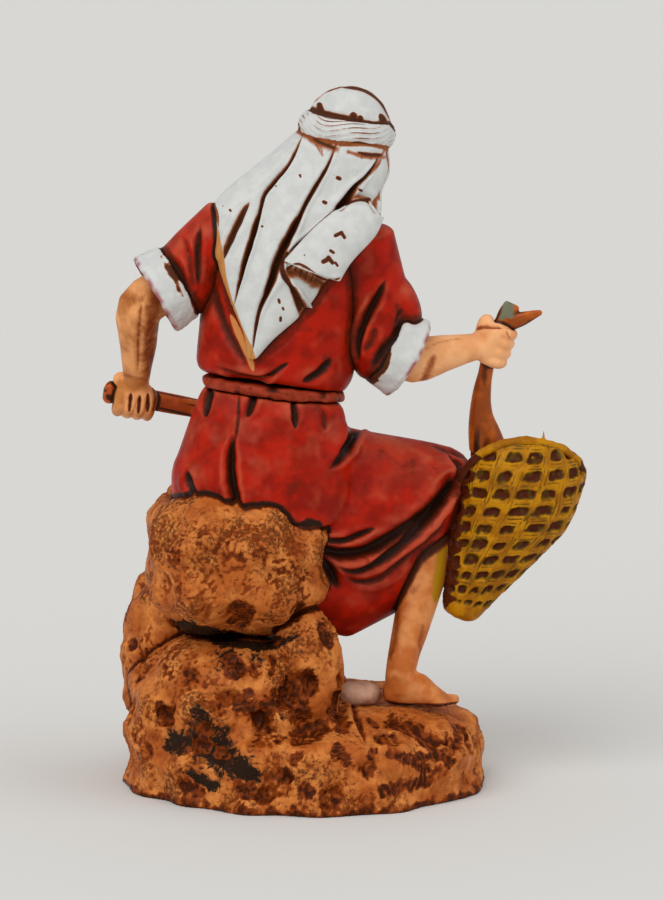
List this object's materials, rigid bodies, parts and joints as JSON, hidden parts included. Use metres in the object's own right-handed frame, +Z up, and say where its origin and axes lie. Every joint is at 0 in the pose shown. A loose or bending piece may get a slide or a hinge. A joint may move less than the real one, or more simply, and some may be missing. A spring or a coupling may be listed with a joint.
{
  "type": "nativity figurine",
  "caption": "Painted nativity figurine of a seated fisherman on a rock, in a red gown and white head cloth, holding a stick and a fish over a wicker basket.",
  "frame": {"origin": "centre of the rock's flat underside", "axes": "+Z up; -Y towards the side that the figure turns its back to, +X on the viewer's right there; the figure faces +Y and a little to +X"},
  "size_m": [0.0606, 0.0432, 0.0873],
  "materials": {
    "rock_paint": "cast resin with a rough hewn surface, ochre paint and a near-black brown wash in the pits",
    "stone_paint": "cast resin, pale grey-brown paint",
    "red_paint": "semi-gloss red paint with a dark brown wash in the folds",
    "belt_paint": "reddish brown paint, semi-gloss",
    "white_paint": "white paint over brown-washed resin, brown left in the folds",
    "skin_paint": "skin-coloured resin with an orange-brown wash, satin",
    "wood_paint": "brown paint with a dark wash in the grain",
    "fish_paint": "glossy brown paint with a dark wash",
    "basket_paint": "yellow ochre paint on the raised weave, dark brown between"
  },
  "bodies": {
    "root": {"rock_base": "rock_paint", "rear_boulder": "rock_paint", "seat_boulder": "rock_paint", "small_stone": "stone_paint", "skirt": "red_paint", "belt": "belt_paint", "bodice": "red_paint", "sleeve_left": "red_paint", "sleeve_right": "red_paint", "cuff_left": "white_paint", "cuff_right": "white_paint", "forearm_left": "skin_paint", "forearm_right": "skin_paint", "head": "skin_paint", "head_band": "white_paint", "crown_cloth": "white_paint", "veil": "white_paint", "veil_flap": "white_paint", "leg_right": "skin_paint", "leg_left": "skin_paint", "stick": "wood_paint", "fish": "fish_paint", "basket": "basket_paint", "basket_rim": "basket_paint"}
  },
  "joints": []
}
